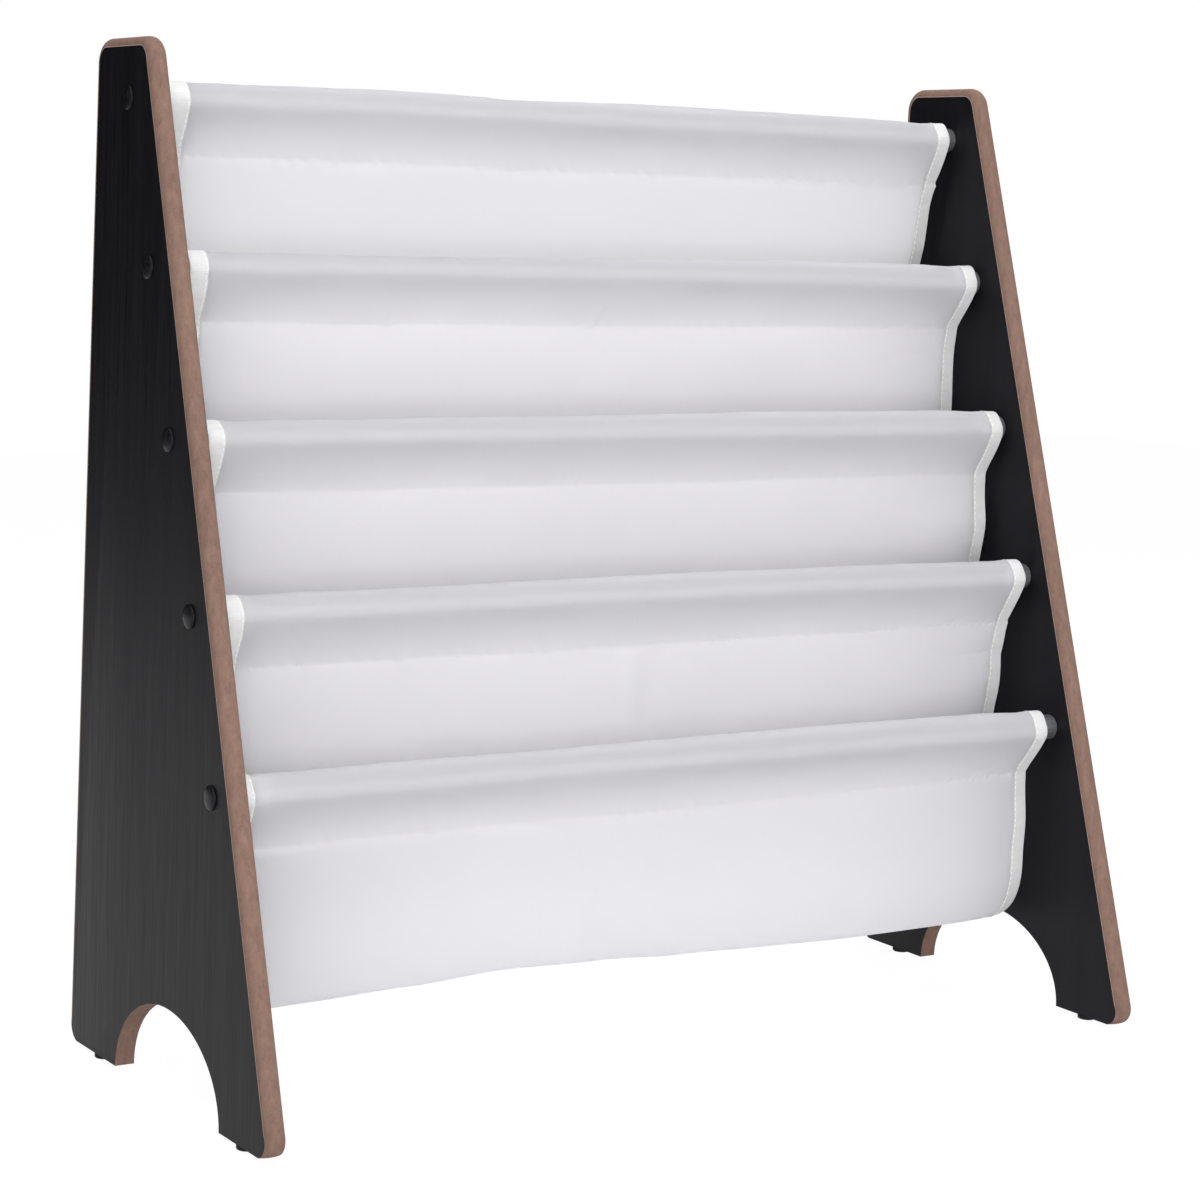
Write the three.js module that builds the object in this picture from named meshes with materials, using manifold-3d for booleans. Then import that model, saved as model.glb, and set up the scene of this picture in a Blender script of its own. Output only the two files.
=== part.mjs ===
// Sling bookshelf for a child's room. Two board side panels stand on four glides, five steel
// rods run between them in a sloping row, and a cloth sling hangs on the rods and makes four
// open pockets for books. Everything is bolted together and nothing moves.
//
// Millimetres, +Z up, the front faces -Y and +X is to the right of someone facing the shelf.
// The origin is on the floor under the middle of the shelf.

import * as THREE from 'three';
import { mergeVertices } from 'three/addons/utils/BufferGeometryUtils.js';
import Module from 'manifold-3d';

const wasm = await Module();
wasm.setup();

// Clearances
const fit = 0.3; // gap between pieces that touch in the real shelf
const overrun = 1; // how far a cutter runs past the face that it cuts

// Side panels: 12 mm board, a narrow top, a wide foot and an arch between the feet
const panelSpan = 616; // over the outer faces of both panels
const panelThick = 12;
const panelHeight = 602;
const footDepth = 279; // between the feet's corners, before they are rounded
const topDepth = 74;
const backLean = 15.3; // how far the back edge comes forward at the top
const topCornerRadius = 15;
const footCornerRadius = 12;
const edgeRound = 5.5; // round edge along the front, the top and the back
const archWidth = 142;
const archHeight = 52;
const archShift = 3; // the arch sits this far in front of the middle of the foot's depth

// Glides: small pads pinned under the feet
const glideHeight = 3;
const glideDiameter = 12;
const glideInset = 42; // from the end of the foot to the middle of the glide
const glideChamfer = 1;
const glidePinDiameter = 2.6;
const glidePinLength = 10;

// Rods: steel tube, in a row a little steeper than the panels' front edges
const rodCount = 5;
const rodDiameter = 16;
const rodWall = 1;
const rodPitch = 96; // height from one rod to the next
const rodTopDrop = 35.1; // from the top of the panel to the top rod
const rodInsetTop = 36.3; // from the front edge to the top rod, level
const rodInsetBottom = 26.8; // from the front edge to the lowest rod, level

// Bolts, the threaded inserts in the rod ends, and the caps over the bolt heads
const boltDiameter = 6;
const boltLength = 28;
const boltHeadDiameter = 11;
const boltHeadThick = 2.8;
const boltTipChamfer = 0.8;
const recessDepth = 4.4; // pocket in the panel's outer face that takes the bolt head
const insertLength = 22;
const insertMouth = 0.8; // countersink at the mouth of the insert's bore
const capDiameter = 14;
const capRise = 2;
const capRim = 0.5; // upright rim under the dome
const capSpigot = 0.8; // the part of the cap that fills the mouth of the recess

// Sling: one cloth, stitched into a sleeve over each rod, with a pocket between two rods
const clothThick = 1.4;
const clothSideGap = 5; // from the cloth's side edge to the panel
const seamDrop = 32; // from the rod's middle to the stitch line under it
const seamSetback = 7.5; // the stitch line lies this far behind the rod's middle
const seamFlap = 4; // both layers together, below the stitch line
const lowSeamSetback = 13; // the lowest sleeve has one wall only, which pulls it further back
const pocketDrop = 135; // from the middle of a pocket's front rod to the pocket's bottom
const backHang = 10; // the back wall hangs this far behind its rod
const frontHang = 15; // the front wall hangs this far behind its rod
const wallSettle = 52; // height in which a wall swings from its seam to where it hangs
const backRise = 15; // height in which the back wall turns into the pocket's bottom
const frontRise = 44; // the same for the front wall, which sweeps back in a longer curve
const drapeDepth = 1.1; // depth of the shallow upright folds in the walls
const hemWave = 8; // how much the bottom of a pocket rises and falls along the shelf

// Counts of facets and copies
const cornerSteps = 6;
const archSteps = 22;
const roundSteps = 4;
const rodSides = 28;
const boltSides = 12;
const insertSides = 14;
const capSides = 18;
const capSteps = 3;
const glideSides = 16;
const pinSides = 10;
const holeSides = 18;
const sleeveSteps = 14;
const backTurnSteps = 4;
const frontTurnSteps = 5;
const clothStations = 14;

// Shares of a wall's height where the cloth has a row of points, seam first
const backWallShares = [0, 0.08, 0.16, 0.25, 0.4, 0.6, 0.8, 1];
const frontWallShares = [0, 0.22, 0.44, 0.68, 1];
// Where the pocket's lowest line lies between its back wall and its front wall
const lowLineShare = 0.3;
// Shallow folds of each pocket: waves along the shelf and where they start, as a share of a turn
const foldCountShares = [1.6, 2.2, 1.9, 2.5];
const foldStartShares = [0.15, 0.62, 0.38, 0.8];
// Rise of a pocket's bottom along the shelf, from the left end to the right end
const hemRiseShares = [0.22, 0.35, 0.57, 1, 0.79, 0.37, 0.17, 0.04, 0.04, 0.16];
// The next pocket up has the same rise, moved along by this share of the shelf
const hemShiftShare = 0.31;

// Places that follow from the sizes
const panelFloor = glideHeight;
const innerSpan = panelSpan - 2 * panelThick;
// How much the round corner of a foot takes off its end, from how far its edge leans
function toeLoss(lean) {
  const corner = Math.atan2(panelHeight, lean);
  return footCornerRadius / Math.tan(corner / 2) - footCornerRadius;
}

// The feet's rounded ends lie as far in front of the origin as behind it
const frontLean = footDepth - topDepth - backLean;
const backFootY = (footDepth + toeLoss(backLean) - toeLoss(frontLean)) / 2;
const frontFootY = backFootY - footDepth;
const backTopY = backFootY - backLean;
const frontTopY = backTopY - topDepth;
const footMiddleY = (backFootY + frontFootY) / 2;
const rodRadius = rodDiameter / 2;
const clothWidth = innerSpan - 2 * clothSideGap;
const sleeveBore = rodRadius + fit;

function frontEdgeY(height) {
  return THREE.MathUtils.lerp(frontFootY, frontTopY, height / panelHeight);
}

// Middle of rod number k in the YZ plane, counted from the top
function rodPlace(k) {
  const height = panelHeight - rodTopDrop - k * rodPitch;
  const inset = THREE.MathUtils.lerp(rodInsetTop, rodInsetBottom, k / (rodCount - 1));
  return new THREE.Vector2(frontEdgeY(height) + inset, panelFloor + height);
}

const rods = Array.from({ length: rodCount }, (_, k) => rodPlace(k));

// Materials
function material(color, roughness, metalness) {
  return new THREE.MeshStandardMaterial({ color, roughness, metalness, side: THREE.FrontSide });
}

const boardMaterial = () => material(0x1c1b20, 0.55, 0);
const rodMaterial = () => material(0x8d8f94, 0.38, 0.9);
const insertMaterial = () => material(0x2a2a2c, 0.6, 0);
const boltMaterial = () => material(0x6f7074, 0.4, 0.9);
const capMaterial = () => material(0x0e0e10, 0.45, 0);
const glideMaterial = () => material(0x121214, 0.5, 0);
const clothMaterial = () => material(0xe4e3e8, 0.92, 0);

// Booleans: a closed geometry becomes a solid, and the solid becomes a geometry again
function toSolid(geometry) {
  const plain = geometry.clone();
  plain.deleteAttribute('normal');
  plain.deleteAttribute('uv');
  const merged = mergeVertices(plain);
  const vertProperties = new Float32Array(merged.attributes.position.array);
  const triVerts = new Uint32Array(merged.index.array);
  return new wasm.Manifold(new wasm.Mesh({ numProp: 3, vertProperties, triVerts }));
}

function fromSolid(solid) {
  const mesh = solid.getMesh();
  const geometry = new THREE.BufferGeometry();
  geometry.setAttribute('position', new THREE.BufferAttribute(mesh.vertProperties.slice(), 3));
  geometry.setIndex(new THREE.BufferAttribute(mesh.triVerts.slice(), 1));
  return flatShaded(geometry);
}

function flatShaded(geometry) {
  const flat = geometry.index ? geometry.toNonIndexed() : geometry;
  flat.computeVertexNormals();
  return flat;
}

function addMesh(group, name, geometry, meshMaterial) {
  const mesh = new THREE.Mesh(geometry, meshMaterial);
  mesh.name = name;
  group.add(mesh);
  return mesh;
}

// A closed skin over rings of points. Every ring has as many points, the rings follow +X, and
// each ring runs anticlockwise as seen from +X. The end faces are triangulated by capFaces.
function loftRings(rings, capFaces) {
  const size = rings[0].length;
  const positions = [];
  const index = [];
  rings.forEach((ring) => ring.forEach((point) => positions.push(point.x, point.y, point.z)));
  for (let i = 0; i + 1 < rings.length; i += 1) {
    for (let j = 0; j < size; j += 1) {
      const next = (j + 1) % size;
      const a = i * size + j;
      const b = i * size + next;
      const c = (i + 1) * size + next;
      const d = (i + 1) * size + j;
      index.push(a, b, c, a, c, d);
    }
  }
  const last = (rings.length - 1) * size;
  capFaces.forEach(([a, b, c]) => {
    index.push(c, b, a);
    index.push(last + a, last + b, last + c);
  });
  const geometry = new THREE.BufferGeometry();
  geometry.setAttribute('position', new THREE.Float32BufferAttribute(positions, 3));
  geometry.setIndex(index);
  return geometry;
}

// A fillet of the corner between two straight edges, as points with their outward normals
function filletPoints(before, corner, after, radius, steps) {
  const inward = corner.clone().sub(before).normalize();
  const outward = after.clone().sub(corner).normalize();
  const turn = Math.acos(THREE.MathUtils.clamp(inward.dot(outward), -1, 1));
  const reach = radius * Math.tan(turn / 2);
  const start = corner.clone().addScaledVector(inward, -reach);
  const startNormal = new THREE.Vector2(inward.y, -inward.x);
  const centre = start.clone().addScaledVector(startNormal, -radius);
  return Array.from({ length: steps + 1 }, (_, i) => {
    const normal = startNormal.clone().rotateAround(new THREE.Vector2(), (turn * i) / steps);
    return { point: centre.clone().addScaledVector(normal, radius), normal, share: i / steps };
  });
}

// Outline of a side panel in the YZ plane, anticlockwise as seen from +X. A point with
// round 1 lies on the rounded edge, and one with round 0 on the square edge of feet and arch.
function panelOutline() {
  const top = panelFloor + panelHeight;
  const backFoot = new THREE.Vector2(backFootY, panelFloor);
  const backTop = new THREE.Vector2(backTopY, top);
  const frontTop = new THREE.Vector2(frontTopY, top);
  const frontFoot = new THREE.Vector2(frontFootY, panelFloor);
  const outline = [];
  const addFillet = (before, corner, after, radius, roundAt) => {
    filletPoints(before, corner, after, radius, cornerSteps).forEach(({ point, normal, share }) => {
      outline.push({ point, normal, round: roundAt(share) });
    });
  };
  addFillet(frontFoot, backFoot, backTop, footCornerRadius, (share) => share);
  addFillet(backFoot, backTop, frontTop, topCornerRadius, () => 1);
  addFillet(backTop, frontTop, frontFoot, topCornerRadius, () => 1);
  addFillet(frontTop, frontFoot, backFoot, footCornerRadius, (share) => 1 - share);
  for (let i = 0; i <= archSteps; i += 1) {
    const angle = Math.PI * (1 - i / archSteps);
    const y = footMiddleY - archShift + (archWidth / 2) * Math.cos(angle);
    const z = panelFloor + archHeight * Math.sin(angle);
    outline.push({ point: new THREE.Vector2(y, z), normal: new THREE.Vector2(), round: 0 });
  }
  return outline;
}

// Board with its edges rounded over: the outline is drawn in step by step towards each face
function panelBoard() {
  const outline = panelOutline();
  const half = panelThick / 2;
  const levels = [];
  for (let i = 0; i <= roundSteps; i += 1) {
    const angle = (Math.PI / 2) * (i / roundSteps);
    const depth = edgeRound * (1 - Math.sin(angle));
    levels.push({ x: -half + edgeRound * (1 - Math.cos(angle)), depth });
  }
  const mirrored = levels.map(({ x, depth }) => ({ x: -x, depth })).reverse();
  const rings = [...levels, ...mirrored].map(({ x, depth }) => outline.map((entry) => {
    const place = entry.point.clone().addScaledVector(entry.normal, -depth * entry.round);
    return new THREE.Vector3(x, place.x, place.y);
  }));
  const flat = rings[0].map((point) => new THREE.Vector2(point.y, point.z));
  return loftRings(rings, THREE.ShapeUtils.triangulateShape(flat, []));
}

// Cylinder along X from one x to another, in the panel's own frame
function boreAlongX(diameter, fromX, toX, place) {
  const length = toX - fromX;
  const bore = new THREE.CylinderGeometry(diameter / 2, diameter / 2, length, holeSides);
  bore.rotateZ(Math.PI / 2);
  bore.translate((fromX + toX) / 2, place.x, place.y);
  return toSolid(bore);
}

function glideY(end) {
  return footMiddleY + end * (footDepth / 2 - glideInset);
}

function pinBore(end) {
  const radius = glidePinDiameter / 2 + fit;
  const length = glidePinLength + overrun;
  const bore = new THREE.CylinderGeometry(radius, radius, length + fit, pinSides);
  bore.rotateX(Math.PI / 2);
  bore.translate(0, glideY(end), panelFloor - overrun + (length + fit) / 2);
  return toSolid(bore);
}

// A panel with its bolt holes and pin holes. Side is -1 on the left and 1 on the right.
function sidePanel(side) {
  const half = panelThick / 2;
  const outer = side * half;
  let board = toSolid(panelBoard());
  rods.forEach((place) => {
    const shank = boltDiameter + 2 * fit;
    const seat = boltHeadDiameter + 2 * fit;
    board = board.subtract(boreAlongX(shank, -half - overrun, half + overrun, place));
    const ends = [outer - side * recessDepth, outer + side * overrun].sort((a, b) => a - b);
    board = board.subtract(boreAlongX(seat, ends[0], ends[1], place));
  });
  [-1, 1].forEach((end) => {
    board = board.subtract(pinBore(end));
  });
  return fromSolid(board);
}

// Turned pieces: a profile of (radius, height) points, from the axis back to the axis or closed
function turned(profile, sides) {
  const points = profile.map(([radius, height]) => new THREE.Vector2(radius, height));
  return flatShaded(new THREE.LatheGeometry(points, sides));
}

function rodGeometry() {
  const length = innerSpan - 2 * fit;
  const bore = rodRadius - rodWall;
  return turned([
    [bore, -length / 2],
    [rodRadius, -length / 2],
    [rodRadius, length / 2],
    [bore, length / 2],
    [bore, -length / 2],
  ], rodSides);
}

// The insert's mouth is at height 0 and it runs down into the rod
function insertGeometry() {
  const outer = rodRadius - rodWall - fit;
  const bore = boltDiameter / 2 + fit;
  return turned([
    [bore, -insertLength],
    [outer, -insertLength],
    [outer, 0],
    [bore + insertMouth, 0],
    [bore, -insertMouth],
    [bore, -insertLength],
  ], insertSides);
}

// The underside of the head is at height 0 and the shank runs down
function boltGeometry() {
  const shank = boltDiameter / 2;
  const head = boltHeadDiameter / 2;
  return turned([
    [0, -boltLength],
    [shank - boltTipChamfer, -boltLength],
    [shank, -boltLength + boltTipChamfer],
    [shank, 0],
    [head, 0],
    [head, boltHeadThick],
    [0, boltHeadThick],
  ], boltSides);
}

// The cap's seat on the panel is at height 0, with its spigot below and its dome above
function capGeometry() {
  const radius = capDiameter / 2;
  const profile = [
    [0, -capSpigot],
    [boltHeadDiameter / 2, -capSpigot],
    [boltHeadDiameter / 2, 0],
    [radius, 0],
  ];
  for (let i = 0; i < capSteps; i += 1) {
    const angle = (Math.PI / 2) * (i / capSteps);
    profile.push([radius * Math.cos(angle), capRim + (capRise - capRim) * Math.sin(angle)]);
  }
  profile.push([0, capRise]);
  return turned(profile, capSides);
}

// The glide's rest face is at height 0 and its pin points up into the foot
function glideGeometry() {
  const radius = glideDiameter / 2;
  const pad = glideHeight - fit;
  const pin = glidePinDiameter / 2;
  return turned([
    [0, 0],
    [radius - glideChamfer, 0],
    [radius, glideChamfer],
    [radius, pad],
    [pin, pad],
    [pin, pad + glidePinLength],
    [0, pad + glidePinLength],
  ], glideSides);
}

// Cross-section of the sleeve round a rod, relative to the rod's middle: a loop that leaves
// the rod at two tangents, meets itself at the stitch line and ends in a flap of two layers
function sleeveShape(setback) {
  const seam = new THREE.Vector2(setback, -seamDrop);
  const reach = seam.length();
  const half = Math.acos(sleeveBore / reach);
  const down = seam.angle();
  const turn = 2 * (Math.PI - half);
  const rim = (radius) => Array.from({ length: sleeveSteps + 1 }, (_, i) => {
    const angle = down + half + (turn * i) / sleeveSteps;
    return new THREE.Vector2(radius * Math.cos(angle), radius * Math.sin(angle));
  });
  const inner = rim(sleeveBore);
  const outer = rim(sleeveBore + clothThick);
  const flapHalf = clothThick + fit / 2;
  const flapTop = seam.y - clothThick * Math.sin(Math.PI / 2 - half);
  outer.push(new THREE.Vector2(seam.x - flapHalf, flapTop));
  outer.push(new THREE.Vector2(seam.x - flapHalf, seam.y - seamFlap));
  outer.push(new THREE.Vector2(seam.x + flapHalf, seam.y - seamFlap));
  outer.push(new THREE.Vector2(seam.x + flapHalf, flapTop));
  inner.push(seam);
  const shape = new THREE.Shape(outer);
  shape.holes.push(new THREE.Path(inner));
  return shape;
}

function setbackOf(k) {
  return k + 1 < rodCount ? seamSetback : lowSeamSetback;
}

function sleeveGeometry(k) {
  const settings = { depth: clothWidth, bevelEnabled: false, steps: 1 };
  const geometry = new THREE.ExtrudeGeometry(sleeveShape(setbackOf(k)), settings);
  const turnToX = new THREE.Matrix4().makeBasis(
    new THREE.Vector3(0, 1, 0),
    new THREE.Vector3(0, 0, 1),
    new THREE.Vector3(1, 0, 0),
  );
  geometry.applyMatrix4(turnToX);
  geometry.translate(-clothWidth / 2, 0, 0);
  return geometry;
}

function shareAlong(shares, along) {
  const last = shares.length - 1;
  const place = THREE.MathUtils.clamp(along, 0, 1) * last;
  const low = Math.min(Math.floor(place), last - 1);
  return THREE.MathUtils.lerp(shares[low], shares[low + 1], THREE.MathUtils.smoothstep(place - low, 0, 1));
}

// Middle line of pocket k at one station along the shelf, from the seam of its back rod down
// the back wall, round the bottom and up the front wall to the seam of its front rod
function pocketLine(k, along) {
  const back = rods[k];
  const front = rods[k + 1];
  const layer = (clothThick + fit) / 2;
  const seamLevel = seamDrop + seamFlap + fit;
  const backSeam = new THREE.Vector2(back.x + setbackOf(k) - layer, back.y - seamLevel);
  const frontSeam = new THREE.Vector2(front.x + setbackOf(k + 1) + layer, front.y - seamLevel);
  const shift = (rodCount - 2 - k) * hemShiftShare;
  const rise = hemWave * shareAlong(hemRiseShares, (along + shift) % 1);
  const bottom = front.y - pocketDrop + clothThick / 2 + rise;
  const fold = drapeDepth * Math.sin(2 * Math.PI * (foldCountShares[k] * along + foldStartShares[k]));
  const backWallY = back.x + backHang + fold;
  const frontWallY = front.x + frontHang + fold;
  const lowY = THREE.MathUtils.lerp(backWallY, frontWallY, lowLineShare);
  const wall = (seam, hang, turnRise, share) => {
    const height = THREE.MathUtils.lerp(seam.y, bottom + turnRise, share);
    const swing = THREE.MathUtils.smoothstep(seam.y - height, 0, wallSettle);
    return new THREE.Vector2(THREE.MathUtils.lerp(seam.x, hang, swing), height);
  };
  const turn = (wallY, turnRise, angle) => new THREE.Vector2(
    lowY + (wallY - lowY) * Math.cos(angle),
    bottom + turnRise * (1 - Math.sin(angle)),
  );
  const line = backWallShares.map((share) => wall(backSeam, backWallY, backRise, share));
  for (let i = 1; i <= backTurnSteps; i += 1) {
    line.push(turn(backWallY, backRise, (Math.PI / 2) * (i / backTurnSteps)));
  }
  for (let i = frontTurnSteps - 1; i > 0; i -= 1) {
    line.push(turn(frontWallY, frontRise, (Math.PI / 2) * (i / frontTurnSteps)));
  }
  [...frontWallShares].reverse().forEach((share) => {
    line.push(wall(frontSeam, frontWallY, frontRise, share));
  });
  return line;
}

// Both faces of the cloth along one middle line, as one ring anticlockwise as seen from +X
function clothRing(line, x) {
  const half = clothThick / 2;
  const normals = line.map((point, i) => {
    const before = line[Math.max(i - 1, 0)];
    const after = line[Math.min(i + 1, line.length - 1)];
    const along = after.clone().sub(before).normalize();
    return new THREE.Vector2(along.y, -along.x);
  });
  normals[0].set(-1, 0);
  normals[line.length - 1].set(1, 0);
  const face = (side) => line.map((point, i) => {
    const place = point.clone().addScaledVector(normals[i], side * half);
    return new THREE.Vector3(x, place.x, place.y);
  });
  return [...face(1), ...face(-1).reverse()];
}

function pocketGeometry(k) {
  const rings = [];
  for (let i = 0; i <= clothStations; i += 1) {
    const along = i / clothStations;
    rings.push(clothRing(pocketLine(k, along), (along - 1 / 2) * clothWidth));
  }
  const count = rings[0].length;
  const ends = [];
  for (let j = 0; j + 1 < count / 2; j += 1) {
    const across = count - 1 - j;
    ends.push([j, j + 1, across - 1], [j, across - 1, across]);
  }
  return flatShaded(loftRings(rings, ends));
}

// Assembly
const shelf = new THREE.Group();
const sides = [
  { word: 'left', side: -1 },
  { word: 'right', side: 1 },
];
const ends = [
  { word: 'front', end: -1 },
  { word: 'back', end: 1 },
];

sides.forEach(({ word, side }) => {
  const outerX = side * (panelSpan / 2);
  const innerX = side * (innerSpan / 2);
  const panelX = side * ((panelSpan - panelThick) / 2);
  addMesh(shelf, `${word}_side_panel`, sidePanel(side), boardMaterial()).position.x = panelX;

  rods.forEach((place, k) => {
    const fixing = new THREE.Group();
    fixing.position.set(0, place.x, place.y);
    fixing.rotation.z = -side * (Math.PI / 2);
    shelf.add(fixing);
    const number = k + 1;
    const seat = Math.abs(outerX) - recessDepth + fit;
    const mouth = Math.abs(innerX) - fit;
    const insert = addMesh(fixing, `rod_insert_${word}_${number}`, insertGeometry(), insertMaterial());
    insert.position.y = mouth;
    const bolt = addMesh(fixing, `rod_bolt_${word}_${number}`, boltGeometry(), boltMaterial());
    bolt.position.y = seat;
    const cap = addMesh(fixing, `bolt_cap_${word}_${number}`, capGeometry(), capMaterial());
    cap.position.y = Math.abs(outerX) + fit;
  });

  ends.forEach(({ word: endWord, end }) => {
    const glide = addMesh(shelf, `glide_${endWord}_${word}`, glideGeometry(), glideMaterial());
    glide.position.set(panelX, glideY(end), 0);
    glide.rotation.x = Math.PI / 2;
  });
});

rods.forEach((place, k) => {
  const number = k + 1;
  const rod = addMesh(shelf, `rod_${number}`, rodGeometry(), rodMaterial());
  rod.position.set(0, place.x, place.y);
  rod.rotation.z = -Math.PI / 2;
  const sleeve = addMesh(shelf, `sling_sleeve_${number}`, sleeveGeometry(k), clothMaterial());
  sleeve.position.set(0, place.x, place.y);
});

for (let k = 0; k + 1 < rodCount; k += 1) {
  addMesh(shelf, `sling_pocket_${k + 1}`, pocketGeometry(k), clothMaterial());
}

export default shelf;
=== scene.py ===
"""The looks of a sling bookshelf: two dark board panels with raw rounded edges, five steel
tubes, and one white cloth stitched round them so that it hangs in four pockets.

Sizes are in millimetres and become metres on the way into Blender. The front faces -Y.
"""
import bpy
import bmesh
from math import acos, atan2, cos, pi, radians, sin, sqrt, tan
import numpy as np
from mathutils import Matrix, Vector


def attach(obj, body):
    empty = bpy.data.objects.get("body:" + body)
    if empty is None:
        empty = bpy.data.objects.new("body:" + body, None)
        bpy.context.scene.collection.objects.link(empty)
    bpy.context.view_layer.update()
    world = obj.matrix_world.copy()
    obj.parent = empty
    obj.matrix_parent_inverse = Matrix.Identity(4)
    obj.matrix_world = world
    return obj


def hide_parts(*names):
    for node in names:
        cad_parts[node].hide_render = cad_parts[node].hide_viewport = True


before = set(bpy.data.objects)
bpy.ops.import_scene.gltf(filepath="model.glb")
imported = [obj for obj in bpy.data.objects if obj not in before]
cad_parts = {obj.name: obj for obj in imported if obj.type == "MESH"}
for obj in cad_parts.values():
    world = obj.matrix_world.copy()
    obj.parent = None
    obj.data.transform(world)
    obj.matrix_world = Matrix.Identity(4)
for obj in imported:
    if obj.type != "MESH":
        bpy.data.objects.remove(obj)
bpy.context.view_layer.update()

MM = 0.001
TURN = 2 * pi

# ---- Sizes of the shelf
FIT = 0.3  # gap between pieces that touch
PANEL_SPAN, PANEL_THICK, PANEL_HEIGHT = 616, 12, 602
FOOT_DEPTH, TOP_DEPTH, BACK_LEAN = 279, 74, 15.3
TOP_CORNER, FOOT_CORNER, EDGE_ROUND = 15, 12, 5.5
ARCH_WIDTH, ARCH_HEIGHT, ARCH_SHIFT = 142, 52, 3
GLIDE_HEIGHT, GLIDE_WIDE, GLIDE_INSET, GLIDE_CHAMFER, GLIDE_ROUND = 3, 12, 42, 1, 0.4
PIN_WIDE, PIN_LONG, PIN_POINT = 2.6, 10, 1.2
RODS, ROD_WIDE, ROD_WALL, ROD_PITCH, ROD_DROP = 5, 16, 1, 96, 35.1
ROD_INSET_TOP, ROD_INSET_LOW = 36.3, 26.8
PALE_END = 22  # length of a tube's paler ends; the middle of the tube is painted dark as shade
BOLT_WIDE, HEAD_WIDE, RECESS = 6, 11, 4.4
CAP_WIDE, CAP_RISE, CAP_RIM, CAP_SPIGOT = 14, 2, 0.5, 0.8

INNER_SPAN = PANEL_SPAN - 2 * PANEL_THICK
PANEL_MIDDLE = (PANEL_SPAN - PANEL_THICK) / 2
PANEL_TOP = GLIDE_HEIGHT + PANEL_HEIGHT
ROD_RADIUS = ROD_WIDE / 2
SIDES = (("left", -1), ("right", 1))


def toe_loss(lean):
    """What the round corner of a foot takes off its end."""
    corner = atan2(PANEL_HEIGHT, lean)
    return FOOT_CORNER / tan(corner / 2) - FOOT_CORNER


FRONT_LEAN = FOOT_DEPTH - TOP_DEPTH - BACK_LEAN
BACK_FOOT = (FOOT_DEPTH + toe_loss(BACK_LEAN) - toe_loss(FRONT_LEAN)) / 2
FRONT_FOOT = BACK_FOOT - FOOT_DEPTH
BACK_TOP = BACK_FOOT - BACK_LEAN
FRONT_TOP = BACK_TOP - TOP_DEPTH
FOOT_MIDDLE = (BACK_FOOT + FRONT_FOOT) / 2


def lerp(a, b, t):
    return a + (b - a) * t


def rod_place(k):
    """Middle of tube k in the YZ plane, counted from the top."""
    height = PANEL_HEIGHT - ROD_DROP - k * ROD_PITCH
    inset = lerp(ROD_INSET_TOP, ROD_INSET_LOW, k / (RODS - 1))
    edge = lerp(FRONT_FOOT, FRONT_TOP, height / PANEL_HEIGHT)
    return edge + inset, GLIDE_HEIGHT + height


ROD_AT = [rod_place(k) for k in range(RODS)]
GLIDE_Y = {word: FOOT_MIDDLE + end * (FOOT_DEPTH / 2 - GLIDE_INSET)
           for word, end in (("front", -1), ("back", 1))}

# ---- Counts of facets
CORNER_STEPS, ARCH_STEPS = 16, 72
HOLE_SIDES, PIN_SIDES = 48, 24
TUBE_SIDES, CAP_SIDES, GLIDE_SIDES = 72, 56, 48
DOME_STEPS, CHAMFER_STEPS, PAD_STEPS = 12, 6, 3
# Edges sharper than these angles, in degrees, stay hard
TURNED_SHARP, PANEL_SHARP, CLOTH_SHARP, TAPE_SHARP, THREAD_SHARP = 35, 30, 60, 50, 80


# ---- Small helpers
def smooth(t):
    t = np.clip(t, 0, 1)
    return t * t * (3 - 2 * t)


def bell(t):
    return np.exp(-(t ** 2))


def waves(x, lengths, seed):
    """An irregular ripple of about unit height: sines of these wavelengths."""
    rng = np.random.RandomState(seed)
    parts = [np.sin(TURN * x / long + rng.uniform(0, TURN)) for long in lengths]
    return sum(parts) / sqrt(len(parts))


def unit(vector):
    return vector / np.linalg.norm(vector)


def along_shares(shares, u):
    """A table of evenly spaced values, read at u from 0 to 1 and smoothly joined."""
    shares = np.asarray(shares, float)
    place = np.clip(u, 0, 1) * (len(shares) - 1)
    low = np.minimum(place.astype(int), len(shares) - 2)
    return lerp(shares[low], shares[low + 1], smooth(place - low))


def add_object(name, data, *materials):
    obj = bpy.data.objects.new(name, data)
    bpy.context.scene.collection.objects.link(obj)
    for material in materials:
        data.materials.append(material)
    return obj


def stand_for(piece, node):
    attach(piece, "root")
    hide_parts(node)


def mesh_from(name, points, faces):
    """A mesh from points in millimetres."""
    mesh = bpy.data.meshes.new(name)
    mesh.from_pydata((np.asarray(points, float) * MM).tolist(), [], faces)
    mesh.update()
    return mesh


def placed(mesh, at, turn=0.0):
    mesh.transform(Matrix.Translation(Vector(at) * MM) @ Matrix.Rotation(turn, 4, "Y"))
    return mesh


def shade(mesh, angle):
    """Smooth shading, with edges sharper than this angle left hard."""
    mesh.polygons.foreach_set("use_smooth", [True] * len(mesh.polygons))
    mesh.set_sharp_from_angle(angle=radians(angle))
    mesh.update()


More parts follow.
